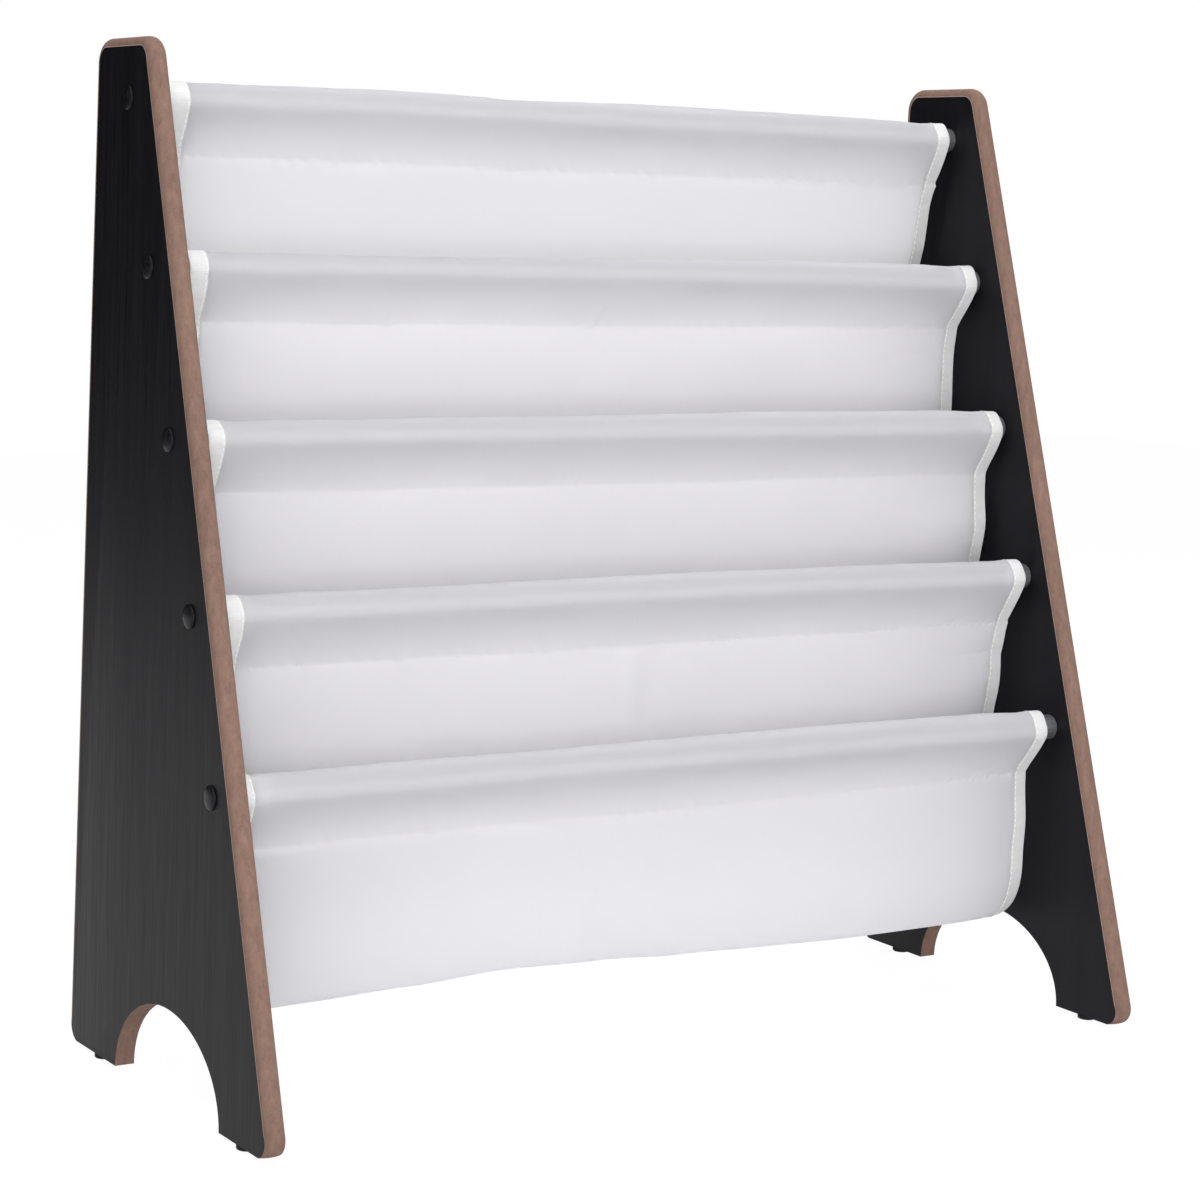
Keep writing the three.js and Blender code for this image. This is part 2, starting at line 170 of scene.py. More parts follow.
def turned(name, profile, sides):
    """A mesh turned about +Z from a profile of (radius, height), axis to axis or closed."""
    points, faces, rings = [], [], []
    for radius, height in profile:
        if radius == 0:
            rings.append([len(points)])
            points.append((0, 0, height))
            continue
        rings.append(list(range(len(points), len(points) + sides)))
        for i in range(sides):
            turn = TURN * i / sides
            points.append((radius * cos(turn), radius * sin(turn), height))
    pairs = list(zip(rings, rings[1:]))
    if len(rings[0]) > 1:
        pairs.append((rings[-1], rings[0]))
    for a, b in pairs:
        for i in range(sides):
            j = (i + 1) % sides
            quad = (a[i % len(a)], a[j % len(a)], b[j % len(b)], b[i % len(b)])
            faces.append(tuple(dict.fromkeys(quad)))
    mesh = mesh_from(name, points, faces)
    shade(mesh, TURNED_SHARP)
    return mesh


def corner_points(before, corner, after, radius, steps):
    """Points of a round corner, each with its outward normal and its share of the turn."""
    before, corner, after = (np.asarray(p, float) for p in (before, corner, after))
    inward = unit(corner - before)
    turn = acos(np.clip(inward @ unit(after - corner), -1, 1))
    start = corner - inward * radius * tan(turn / 2)
    normal = np.array((inward[1], -inward[0]))
    centre = start - normal * radius
    out = []
    for i in range(steps + 1):
        c, s = cos(turn * i / steps), sin(turn * i / steps)
        n = np.array((normal[0] * c - normal[1] * s, normal[0] * s + normal[1] * c))
        out.append((centre + n * radius, n, i / steps))
    return out


def grid_faces(rows, columns, start=0, flip=False, closed=False):
    """Quads between rows of points. A closed grid joins the last column to the first."""
    faces = []
    for i in range(rows - 1):
        for j in range(columns if closed else columns - 1):
            a, b = (start + i * columns + at % columns for at in (j, j + 1))
            quad = (a, b, b + columns, a + columns)
            faces.append(quad[::-1] if flip else quad)
    return faces


# ---- Materials
class Nodes:
    """A material or world under construction. Most calls add nodes and return an output."""

    def __init__(self, name, kind="Material"):
        data = bpy.data.worlds if kind == "World" else bpy.data.materials
        self.owner = data.new(name)
        self.owner.use_nodes = True
        self.tree = self.owner.node_tree
        self.tree.nodes.clear()
        self.out = self.tree.nodes.new(f"ShaderNodeOutput{kind}")

    def node(self, kind, settings=None, values=None, **named):
        made = self.tree.nodes.new("ShaderNode" + kind)
        for key, value in (settings or {}).items():
            setattr(made, key, value)
        inputs = values or {key.replace("_", " "): value for key, value in named.items()}
        for key, value in inputs.items():
            if isinstance(value, bpy.types.NodeSocket):
                self.tree.links.new(value, made.inputs[key])
            else:
                made.inputs[key].default_value = value
        return made

    def scaled(self, source, scale):
        return self.node("Mapping", Vector=source, Scale=scale).outputs[0]

    def place(self, scale=(1, 1, 1)):
        """The object's own coordinates times a scale."""
        return self.scaled(self.node("TexCoord").outputs["Object"], scale)

    def cloth_place(self):
        """The place on the flat cloth, in millimetres."""
        return self.node("Attribute", {"attribute_name": "cloth_mm"}).outputs["Vector"]

    def noise(self, vector, scale, detail=3.0, rough=0.55):
        return self.node("TexNoise", Vector=vector, Scale=scale, Detail=detail,
                         Roughness=rough).outputs["Fac"]

    def ramp(self, value, low, high, color_low, color_high):
        """Colour that runs from one to the other while value runs from low to high."""
        made = self.node("ValToRGB", Fac=value)
        ends = made.color_ramp.elements
        ends[0].position, ends[1].position = low, high
        ends[0].color, ends[1].color = (*color_low, 1), (*color_high, 1)
        return made.outputs["Color"]

    def span(self, value, low, high, to_low, to_high):
        return self.node("MapRange", Value=value, From_Min=low, From_Max=high,
                         To_Min=to_low, To_Max=to_high).outputs["Result"]

    def math(self, operation, a, b=0.0, clamp=False):
        settings = {"operation": operation, "use_clamp": clamp}
        return self.node("Math", settings, {0: a, 1: b}).outputs[0]

    def sine(self, value, pitch):
        return self.math("SINE", self.math("MULTIPLY", value, TURN / pitch))

    def total(self, *parts):
        """The sum of values, each times its share."""
        first, *rest = [self.math("MULTIPLY", value, share) for value, share in parts]
        for term in rest:
            first = self.math("ADD", first, term)
        return first

    def tint(self, color, other, share):
        values = {0: share, 6: color, 7: other}
        return self.node("Mix", {"data_type": "RGBA"}, values).outputs[2]

    def bump(self, height, strength, distance):
        return self.node("Bump", Height=height, Strength=strength,
                         Distance=distance * MM).outputs["Normal"]

    def finish(self, shader):
        self.tree.links.new(shader.outputs[0], self.out.inputs["Surface"])
        return self.owner

    def surface(self, **inputs):
        """A Principled shader straight into the output."""
        return self.finish(self.node("BsdfPrincipled", **inputs))

    def mix(self, share, first, second):
        """Two shaders into the output, with this share of the second."""
        values = {0: share, 1: first.outputs[0], 2: second.outputs[0]}
        return self.finish(self.node("MixShader", None, values))


def film_material():
    """Dark melamine film with a fine upright wood grain."""
    m = Nodes("dark_wood_film")
    grain = m.noise(m.place((60, 620, 16)), 1.0, 4.0, 0.6)
    bands = m.noise(m.place((10, 75, 2.2)), 1.0, 2.0)
    pores = m.noise(m.place((60, 1500, 55)), 1.0, 2.0)
    streak = m.total((grain, 0.55), (bands, 0.45))
    color = m.ramp(streak, 0.36, 0.68, (0.0028, 0.0027, 0.0044), (0.0070, 0.0062, 0.0086))
    pore = m.span(pores, 0.60, 0.74, 0.0, 1.0)
    color = m.tint(color, (0.0022, 0.0020, 0.0025, 1), m.math("MULTIPLY", pore, 0.7))
    height = m.math("SUBTRACT", m.math("MULTIPLY", grain, 0.6), pore)
    return m.surface(Base_Color=color, Roughness=m.span(grain, 0.3, 0.7, 0.42, 0.54),
                     Specular_IOR_Level=0.16, Normal=m.bump(height, 0.35, 0.06))


def fibre_material(name, dark, light, rough=0.86):
    """Raw cut fibreboard: mottled short fibres with faint streaks along the cut."""
    m = Nodes(name)
    fine = m.noise(m.place(), 1500.0, 3.0, 0.7)
    clumps = m.noise(m.place((1, 1, 0.35)), 330.0, 3.0, 0.6)
    streaks = m.noise(m.place((1, 1, 0.06)), 260.0, 2.0)
    broad = m.noise(m.place(), 16.0, 2.0)
    mixed = m.total((fine, 0.40), (clumps, 0.30), (streaks, 0.15), (broad, 0.15))
    color = m.ramp(mixed, 0.36, 0.64, dark, light)
    return m.surface(Base_Color=color, Roughness=rough, Specular_IOR_Level=0.25,
                     Normal=m.bump(mixed, 0.5, 0.25))


def weave(m, pitch):
    """Height of a plain weave of this pitch in millimetres."""
    parts = m.node("SeparateXYZ", Vector=m.cloth_place()).outputs
    return m.math("MULTIPLY", m.sine(parts[0], pitch), m.sine(parts[1], pitch))


def cloth_material():
    """White polyester canvas that lets some light through."""
    m = Nodes("white_canvas")
    place = m.cloth_place()
    slubs = m.noise(m.scaled(place, (0.05, 0.9, 1)), 1.0, 3.0)
    cloudy = m.noise(place, 0.035, 3.0)
    mixed = m.total((slubs, 0.5), (cloudy, 0.5))
    color = m.ramp(mixed, 0.3, 0.7, (0.932, 0.930, 0.978), (0.954, 0.952, 0.990))
    normal = m.bump(m.total((weave(m, 0.8), 0.5), (slubs, 0.8)), 0.25, 0.08)
    face = m.node("BsdfPrincipled", Base_Color=color, Roughness=0.72,
                  Specular_IOR_Level=0.25, Sheen_Weight=0.12, Sheen_Roughness=0.5,
                  Normal=normal)
    through = m.node("BsdfTranslucent", Color=(0.972, 0.968, 0.966, 1), Normal=normal)
    return m.mix(0.76, face, through)


def tape_material():
    m = Nodes("binding_tape")
    place = m.cloth_place()
    ribs = m.sine(m.node("SeparateXYZ", Vector=place).outputs[1], 0.9)
    wear = m.noise(place, 0.18, 3.0)
    color = m.ramp(wear, 0.3, 0.7, (0.60, 0.60, 0.60), (0.66, 0.66, 0.66))
    return m.surface(Base_Color=color, Roughness=0.8, Specular_IOR_Level=0.25,
                     Sheen_Weight=0.15, Sheen_Roughness=0.5,
                     Normal=m.bump(m.math("ADD", ribs, wear), 0.4, 0.12))


def thread_material():
    m = Nodes("sewing_thread")
    twist = m.noise(m.place(), 2600.0, 2.0)
    color = m.ramp(twist, 0.35, 0.65, (0.86, 0.85, 0.80), (0.95, 0.94, 0.90))
    return m.surface(Base_Color=color, Roughness=0.6, Sheen_Weight=0.2, Sheen_Roughness=0.4,
                     Normal=m.bump(twist, 0.4, 0.05))


def steel_material(name, dark, light, rough):
    """Drawn steel: faint scratches along its length and small specks."""
    m = Nodes(name)
    drawn = m.noise(m.place((12, 900, 900)), 1.0, 3.0)
    specks = m.noise(m.place(), 900.0, 2.0)
    color = m.ramp(drawn, 0.3, 0.7, dark, light)
    return m.surface(Base_Color=color, Metallic=0.85, Normal=m.bump(drawn, 0.15, 0.03),
                     Roughness=m.span(specks, 0.3, 0.7, rough - 0.06, rough + 0.08))


def plastic_material(name, dark, light, rough):
    """Moulded black plastic with a very fine pitted skin."""
    m = Nodes(name)
    skin = m.noise(m.place(), 2200.0, 3.0, 0.6)
    scuffs = m.noise(m.place(), 420.0, 2.0)
    color = m.ramp(scuffs, 0.35, 0.75, dark, light)
    return m.surface(Base_Color=color, Specular_IOR_Level=0.12, Normal=m.bump(skin, 0.3, 0.05),
                     Roughness=m.span(scuffs, 0.3, 0.7, rough - 0.05, rough + 0.10))


FILM = film_material()
FIBRE = fibre_material("raw_fibreboard", (0.142, 0.084, 0.064), (0.252, 0.157, 0.120))
ARRIS = fibre_material("film_edge", (0.31, 0.22, 0.18), (0.44, 0.34, 0.29), 0.6)
CANVAS = cloth_material()
TAPE = tape_material()
THREAD = thread_material()
# Painted shade and light: two copies of one steel. The tube is made dark where the cloth covers
# it, so that the cloth shows a shade band over it. Its ends are paler, partly the steel's own
# grey and partly painted light against the shade between cloth and panel.
TUBE_PAINTED_SHADE = steel_material("steel_tube_painted_shade", (0.055, 0.057, 0.063), (0.085, 0.088, 0.095), 0.34)
TUBE_END_STEEL_AND_LIGHT = steel_material("tube_end_steel_and_painted_light", (0.27, 0.275, 0.285), (0.37, 0.375, 0.385), 0.36)
ZINC = steel_material("zinc_bolt", (0.42, 0.42, 0.41), (0.55, 0.55, 0.53), 0.34)
CAP_BLACK = plastic_material("black_cap", (0.007, 0.007, 0.008), (0.013, 0.012, 0.014), 0.30)
GLIDE_BLACK = plastic_material("black_glide", (0.010, 0.010, 0.011), (0.020, 0.019, 0.020), 0.45)
NYLON = plastic_material("nylon_insert", (0.018, 0.018, 0.019), (0.030, 0.030, 0.031), 0.5)


# ---- Camera, lights, floor
PHOTO = 1200  # width and height of the picture in pixels
CAMERA_AT = (-1002.13, -1527.16, 513.64)
CAMERA_YAW, CAMERA_PITCH, CAMERA_ROLL = 32.6069, -4.8649, 1.8938
FOCAL_PIXELS, CENTRE_ROW = 2976.30, 465
AMBIENT, BEHIND = 0.04, 0.71  # strength of the world in front of the shelf and behind it
FLOOR_GLOW = 0.9
FLOOR = [(-4000, -4000, 0), (4000, -4000, 0), (4000, 4000, 0), (-4000, 4000, 0)]
CARD = [(-2400, 1000, 30), (400, 2240, 30), (400, 2240, 3000), (-2400, 1000, 3000)]
# Softboxes: name, place, aim and size in metres, watts, colour
SOFTBOXES = [
    ("front_softbox", (-0.9, -2.7, 1.3), (0, 0, 0.3), (2.4, 1.6), 44, (1, 0.998, 0.995)),
    ("top_softbox", (0, -0.3, 2.4), (0, 0, 0.3), (2.4, 1.8), 46, (0.99, 0.99, 1)),
    ("low_softbox", (-0.4, -1.5, 0.05), (0, 0, 0.45), (2.8, 0.9), 21, (1, 1, 1)),
]


def make_camera():
    data = bpy.data.cameras.new("camera")
    data.lens = FOCAL_PIXELS / PHOTO * data.sensor_width
    data.shift_y = (CENTRE_ROW - PHOTO / 2) / PHOTO
    data.clip_start, data.clip_end = 0.05, 50
    yaw, pitch, roll = (radians(a) for a in (CAMERA_YAW, CAMERA_PITCH, CAMERA_ROLL))
    camera = add_object("camera", data)
    camera.matrix_world = (
        Matrix.Translation(Vector(CAMERA_AT) * MM) @ Matrix.Rotation(-yaw, 4, "Z")
        @ Matrix.Rotation(pi / 2 + pitch, 4, "X") @ Matrix.Rotation(roll, 4, "Z"))
    bpy.context.scene.camera = camera


def add_softbox(name, at, aim, size, watts, color):
    data = bpy.data.lights.new(name, "AREA")
    data.shape, data.size, data.size_y = "RECTANGLE", *size
    data.energy, data.color = watts, color
    lamp = add_object(name, data)
    lamp.location, lamp.rotation_mode, lamp.visible_camera = at, "QUATERNION", False
    lamp.rotation_quaternion = (Vector(aim) - Vector(at)).to_track_quat("-Z", "Y")


def background_share(m):
    """1 for rays that see the background itself. What the cloth lets through diffusely
    counts as light."""
    path = m.node("LightPath").outputs
    clear = m.math("SUBTRACT", path["Is Transmission Ray"], path["Is Diffuse Ray"], clamp=True)
    seen = m.math("MAXIMUM", path["Is Camera Ray"], path["Is Glossy Ray"])
    return m.math("MAXIMUM", seen, clear)


def make_world():
    """White where it is seen. Its light is weak in front of the shelf and strong behind."""
    m = Nodes("studio", "World")
    way = m.node("TexCoord").outputs["Generated"]
    back = m.node("SeparateXYZ", Vector=way).outputs["Y"]
    light = m.node("Background", Color=(0.98, 0.982, 1, 1),
                   Strength=m.span(back, -1, 1, AMBIENT, BEHIND))
    seen = m.node("Background", Color=(1, 1, 1, 1))
    bpy.context.scene.world = m.mix(background_share(m), light, seen)


def add_stage(name, corners, material):
    sheet = add_object(name, mesh_from(name, corners, [(0, 1, 2, 3)]), material)
    return sheet


def make_floor():
    """A pale floor that runs into the white background and keeps a soft shadow."""
    m = Nodes("pale_floor")
    plain = m.node("BsdfDiffuse", Color=(0.80, 0.80, 0.81, 1))
    glow = m.node("Emission", Color=(1, 1, 1, 1), Strength=1.06)
    share = m.math("MULTIPLY", background_share(m), FLOOR_GLOW)
    add_stage("floor", FLOOR, m.mix(share, plain, glow))


def make_flag():
    """A black card behind the shelf at the left, seen only by reflections in the panels."""
    m = Nodes("black_card")
    black = m.finish(m.node("BsdfDiffuse", Color=(0.004, 0.004, 0.004, 1)))
    card = add_stage("flag", CARD, black)
    card.visible_camera = card.visible_diffuse = False
    card.visible_transmission = card.visible_shadow = False


bpy.context.scene.view_settings.view_transform = "Standard"
make_camera()
make_world()
make_floor()
make_flag()
for softbox in SOFTBOXES:
    add_softbox(*softbox)


# ---- Side panels
FILM_LIP = 5  # degrees of the rounded edge that show the cut film
ROUND_ANGLES = [0, FILM_LIP, 14, 23, 32, 41, 50, 60, 70, 80, 90]
FACE, LIP, CORE = 0, 1, 2  # material slots of a panel
CUT_PAST = 1  # how far a cutter runs past the face that it cuts


def panel_outline():
    """(point, normal, share of edge rounding) round a panel, in the YZ plane. The rounding
    fades out over the corners of the feet, and the arch has none."""
    corners = [(BACK_FOOT, GLIDE_HEIGHT), (BACK_TOP, PANEL_TOP), (FRONT_TOP, PANEL_TOP),
               (FRONT_FOOT, GLIDE_HEIGHT)]
    radii = (FOOT_CORNER, TOP_CORNER, TOP_CORNER, FOOT_CORNER)
    rounding = ((0, 1), (1, 1), (1, 1), (1, 0))
    outline = []
    for i, (radius, ends) in enumerate(zip(radii, rounding)):
        after = corners[(i + 1) % 4]
        for point, normal, share in corner_points(corners[i - 1], corners[i], after, radius,
                                                  CORNER_STEPS):
            outline.append((point, normal, lerp(*ends, share)))
    for i in range(ARCH_STEPS + 1):
        a = pi * (1 - i / ARCH_STEPS)
        point = np.array((FOOT_MIDDLE - ARCH_SHIFT + ARCH_WIDTH / 2 * cos(a),
                          GLIDE_HEIGHT + ARCH_HEIGHT * sin(a)))
        outline.append((point, np.zeros(2), 0))
    return outline


def panel_cutters(side):
    """Cutters for bolt holes and glide pins, in one mesh."""
    half = PANEL_THICK / 2
    shank, seat, pin = BOLT_WIDE / 2 + FIT, HEAD_WIDE / 2 + FIT, PIN_WIDE / 2 + FIT
    hole = [(0, -half - CUT_PAST), (shank, -half - CUT_PAST), (shank, half - RECESS),
            (seat, half - RECESS), (seat, half + CUT_PAST), (0, half + CUT_PAST)]
    bore = [(0, -CUT_PAST), (pin, -CUT_PAST), (pin, PIN_LONG + FIT), (0, PIN_LONG + FIT)]
    x = side * PANEL_MIDDLE
    cuts = [placed(turned("cutter", hole, HOLE_SIDES), (x, y, z), side * pi / 2)
            for y, z in ROD_AT]
    cuts += [placed(turned("cutter", bore, PIN_SIDES), (x, y, GLIDE_HEIGHT))
             for y in GLIDE_Y.values()]
    parts = bmesh.new()
    for cut in cuts:
        parts.from_mesh(cut)
    mesh = bpy.data.meshes.new("cutters")
    parts.to_mesh(mesh)
    parts.free()
    return mesh


def make_panel(word, side):
    half = PANEL_THICK / 2
    outline = panel_outline()
    levels = [(EDGE_ROUND * (1 - cos(radians(a))) - half, EDGE_ROUND * (1 - sin(radians(a))))
              for a in ROUND_ANGLES]
    levels += [(-x, depth) for x, depth in reversed(levels)]
    points, slots = [], []
    for x, depth in levels:
        for point, normal, share in outline:
            y, z = point - normal * depth * share
            points.append((side * PANEL_MIDDLE + x, y, z))
    count, last = len(outline), len(levels) - 1
    faces = grid_faces(len(levels), count, closed=True)
    rounded = [outline[j][2] > 0 and outline[(j + 1) % count][2] > 0 for j in range(count)]
    for i in range(last):
        slots += [LIP if i in (0, last - 1) and here else CORE for here in rounded]
    faces.append(tuple(reversed(range(count))))
    faces.append(tuple(range(last * count, (last + 1) * count)))
    slots += [FACE, FACE]
    mesh = mesh_from(f"panel_{word}", points, faces)
    mesh.polygons.foreach_set("material_index", slots)
    panel = add_object(f"panel_{word}", mesh, FILM, ARRIS, FIBRE)
    # A cut face keeps its slot number, so the cutter has as many slots as the panel
    cutters = panel_cutters(side)
    tool = add_object("cutters", cutters, FIBRE, FIBRE, FIBRE)
    cutters.polygons.foreach_set("material_index", [CORE] * len(cutters.polygons))
    cut = panel.modifiers.new("holes", "BOOLEAN")
    cut.operation, cut.solver, cut.object = "DIFFERENCE", "EXACT", tool
    bpy.context.view_layer.update()
    evaluated = panel.evaluated_get(bpy.context.evaluated_depsgraph_get())
    done = bpy.data.meshes.new_from_object(evaluated)
    panel.modifiers.clear()
    panel.data = done
    bpy.data.objects.remove(tool)
    shade(done, PANEL_SHARP)
    stand_for(panel, f"{word}_side_panel")


for word, side in SIDES:
    make_panel(word, side)


# ---- Tubes, caps, glides
TUBE_LIP = 0.25  # bevel of a cut end


def add_turned(name, profile, sides, at, turn, material, node):
    """A turned piece: along X, or upright where turn is 0."""
    piece = add_object(name, placed(turned(name, profile, sides), at, turn), material)
    stand_for(piece, node)
    return piece


def make_tube(k):
    half = (INNER_SPAN - 2 * FIT) / 2
    outer, inner, pale_from = ROD_RADIUS, ROD_RADIUS - ROD_WALL, half - PALE_END
    end = [(outer, half - TUBE_LIP), (outer - TUBE_LIP, half), (inner + TUBE_LIP, half),
           (inner, half - TUBE_LIP)]
    start = [(radius, -x) for radius, x in reversed(end)]
    profile = start + [(outer, -pale_from), (outer, pale_from)] + end
    tube = add_turned(f"tube_{k + 1}", profile, TUBE_SIDES, (0, *ROD_AT[k]), pi / 2, TUBE_PAINTED_SHADE,
                      f"rod_{k + 1}")
    # The middle takes the dark copy of the steel, which is painted shade, and the ends take the
    # paler copy, which is partly painted light.
    tube.data.materials.append(TUBE_END_STEEL_AND_LIGHT)
    slots = [int(abs(face.center.x) > pale_from * MM) for face in tube.data.polygons]
    tube.data.polygons.foreach_set("material_index", slots)
    return tube


def cap_profile():
    """A low dome with a rounded rim, over a short spigot."""
    radius, spigot = CAP_WIDE / 2, HEAD_WIDE / 2
    profile = [(0, -CAP_SPIGOT), (spigot, -CAP_SPIGOT), (spigot, 0), (radius, 0)]
    for i in range(DOME_STEPS):
        a = pi / 2 * i / DOME_STEPS
        profile.append((radius * cos(a), CAP_RIM + (CAP_RISE - CAP_RIM) * sin(a)))
    return profile + [(0, CAP_RISE)]


def glide_profile():
    radius, pad, pin = GLIDE_WIDE / 2, GLIDE_HEIGHT - FIT, PIN_WIDE / 2
    low = corner_points((0, 0), (radius, 0), (radius, pad), GLIDE_CHAMFER, CHAMFER_STEPS)
    high = corner_points((radius, 0), (radius, pad), (pin, pad), GLIDE_ROUND, PAD_STEPS)
    return [(0, 0), *(point for point, _, _ in low + high), (pin, pad),
            (pin, pad + PIN_LONG - PIN_POINT), (0, pad + PIN_LONG)]


tubes = [make_tube(k) for k in range(RODS)]
for word, side in SIDES:
    for k, place in enumerate(ROD_AT, 1):
        add_turned(f"cap_{word}_{k}", cap_profile(), CAP_SIDES,
                   (side * (PANEL_SPAN / 2 + FIT), *place), side * pi / 2, CAP_BLACK,
                   f"bolt_cap_{word}_{k}")
        for node, material in (("rod_bolt", ZINC), ("rod_insert", NYLON)):
            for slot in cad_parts[f"{node}_{word}_{k}"].material_slots:
                slot.material = material
for word, side in SIDES:
    for end, y in GLIDE_Y.items():
        add_turned(f"foot_pad_{end}_{word}", glide_profile(), GLIDE_SIDES,
                   (side * PANEL_MIDDLE, y, 0), 0, GLIDE_BLACK, f"glide_{end}_{word}")


# ---- Sizes of the cloth
CLOTH = 0.7  # thickness
EDGE_X = 291  # half the cloth's width
SEAM_DROP, FLAP = 32, 3.4  # stitch line below a tube's middle, and the cloth below that
SETBACK, LOW_SETBACK = 2.5, 4.5  # stitch line behind a tube's middle, and the lowest tube's
POCKET_DROP, BACK_HANG, FRONT_HANG = 135, 10, 15
SETTLE, BACK_RISE, FRONT_RISE = 52, 15, 44
HEM_WAVE, HEM_SHIFT, LOW_LINE = 8, 0.31, 0.3
POCKET_CORNER, POCKET_CORNER_REACH = 3, 7  # rise of a pocket's bottom at its right end
HEM_RISE = [0.22, 0.35, 0.57, 1, 0.79, 0.37, 0.17, 0.04, 0.04, 0.16]
FOLD_DEPTH = 1.1
FOLD_COUNT = [1.6, 2.2, 1.9, 2.5]
FOLD_START = [0.15, 0.62, 0.38, 0.8]
# From the middle of a seam to its layers, in the open and under the tapes. The top and
# lowest seams have a folded hem between the layers
LAYER_GAP, HEM_GAP, GAP_RAMP = (0.42, 0.78), (0.82, 1.20), 7

# Binding tape, with its width at each tube on the flat cloth
TAPE_THICK, TAPE_AIR, TAPE_MOST = 0.35, 0.02, 11
TAPE_WIDE = {-1: [12.2, 11.4, 9.6, 9.6, 7.7], 1: [9.2, 9.2, 9.2, 9.2, 9.2]}
TAPE_COLUMNS = [1, 0.72, 0.46, 0.22, 0.08, 0]  # shares of its width, from its cut edge on
TAPE_CUT, FOLD_STEPS = 0.1, 6

# How far each end of each sleeve stops short of the cloth's full width
LEFT_SHORT = [4.6, 4.4, 2.8, 1.8, -3.0]
RIGHT_SHORT = [3.4, 0.7, 0.8, 3.0, 6.4]
# Right edge of the wall below each tube: (depth below the tube, place behind it)
EDGE_WALL = [
    [(32, 4.3), (42, 8.7), (60, 11.5), (78, 14.0), (87, 17.0), (100, 18.0), (200, 13.0)],
    [(32, 9.6), (41, 11.8), (62, 11.9), (88, 11.2), (100, 11.2), (200, 10.0)],
    [(32, 5.2), (37, 5.9), (55, 4.6), (64, 1.8), (77, 4.1), (90, 7.3), (100, 9.0), (200, 10.0)],
    [(32, 5.0), (38, 7.8), (48, 11.5), (60, 11.0), (76, 12.4), (92, 16.4), (200, 13.0)],
    [(32, 9.6), (43, 9.2), (57, 7.8), (70, 7.8), (86, 8.8), (100, 9.8), (135, 12.0)],
]
EDGE_SETBACK = [5.4, 10.4, 6.2, 7.0, 10.8]  # of each stitch line at the right edge
EDGE_CORNER = [0.7, 1.1, 0.6, 0.5, 0.6]  # how far a sleeve's ends stand up over its tube
CORNER_REACH, CORNER_TURN, CORNER_SPREAD = 9, 1.92, 0.42
EDGE_BLEND = 70  # distance from the right edge over which its own shape fades out
EDGE_LOW, EDGE_FADE = 170, 60  # a back wall leaves that shape at this depth, over this height
EDGE_SETTLE = 12  # depth in which the edge goes from its stitch line to that shape
FRONT_PUSH = 70  # depth at which the edge of the wall in front pushes a pocket back
# Each place read from the table is a mean over these depths around it
ROUNDING = ((-7, 0.15), (-3.5, 0.2), (0, 0.3), (3.5, 0.2), (7, 0.15))
# How far the cloth lies off the top of each tube, at even steps along the shelf
TOP_SLACK = [
    [1.5, 2.4, 3.4, 4.3, 4.0, 2.2, 3.3, 4.4, 4.2, 3.8, 3.6, 2.8, 1.3],
    [0.1, 0.1, 0.1, 0.1, 0.4, 1.2, 1.5, 2.4, 2.9, 3.6, 3.3, 2.8, 1.2],
    [1.3, 1.6, 1.6, 2.1, 2.1, 2.1, 2.5, 3.1, 3.8, 3.8, 3.4, 3.4, 1.5],
    [1.3, 2.2, 1.7, 1.9, 2.5, 2.9, 3.3, 3.4, 2.9, 2.9, 2.7, 2.1, 1.4],
    [2.0, 2.1, 2.7, 2.9, 2.4, 3.0, 3.2, 3.4, 3.6, 3.6, 3.4, 3.0, 1.4],
]
SLACK_END = 0.72  # share of the way over a tube where this slack ends
# How far the cloth stands off the tube in front, and where it comes off
LOOSE, LOOSE_START, LOOSE_RUN = 1.6, 0.66, 0.34
SLEEVE_AIR, LEAST_LIFT = 0.25, 0.1
TAPE_LIFT, TAPE_LIFT_START, TAPE_LIFT_RAMP = 0.4, 6, 5  # room for the tape round a tube
BULGE = [0.8, 0.9, 0.7, 0.7, 0.6]  # how far the front of a sleeve sags between tube and seam
SAG, SAG_POWER, SEAM_CURVE = 8, 1.5, 0.2

# Puckers along each stitch line: height, slant, and how far they reach from the line
PUCKER = [(0.46, 0.9, 8), (0.24, 0.3, 6), (0.24, -0.4, 6), (0.40, 0.6, 7), (0.30, 0.4, 6)]
PUCKER_BELOW, PUCKER_BACK = 0.55, 0.8  # shares of their height below the line and behind
PUCKER_LEAST, PUCKER_ENDS, ENDS_REACH = 0.25, 0.8, 40
PUFF, PUFF_START, PUFF_REACH = 0.35, 2.2, 6  # the cloth swells beside a seam
# Ribs above each stitch line at its right end: height, and where they start
RIBS = [(0.22, 120), (0.16, 215), (0.14, 225), (0.42, 185), (0.34, 195)]
RIB_PITCH, RIB_SLANT, RIB_RAMP, RIB_REACH = 5.9, 0.8, 30, 6.5
# Single soft creases: (tier, above the seam or below it, x, width, depth, lean, reach)
CREASES = [
    (1, "sleeve", -153, 3.2, 0.95, 0.20, 27), (1, "sleeve", -8, 3.2, 1.05, 0.35, 27),
    (4, "sleeve", -163, 3.2, 0.85, 0.10, 25), (3, "wall", -9, 9.0, 1.30, 0.05, 75),
    (4, "wall", 6, 3.2, 0.60, 0.05, 14), (4, "wall", -105, 14, 1.60, 0.90, 110),
    (3, "sleeve", -176, 5.0, 0.60, 0.10, 30), (3, "sleeve", 134, 4.0, 0.55, -0.10, 30),
    (0, "wall", -94, 3.2, 0.50, 0.00, 14), (0, "wall", -76, 3.2, 0.45, 0.05, 12),
    (2, "wall", 120, 22, 0.70, 0.30, 60), (0, "wall", -150, 30, 0.80, -0.25, 60),
    (1, "wall", 150, 18, 0.60, 0.40, 60), (0, "sleeve", -49, 12, 0.70, 0.30, 30),
]
CREASE_RIDGE, CREASE_ASIDE, CREASE_START, CREASE_PEAK = 0.6, 1.3, 6, 0.25
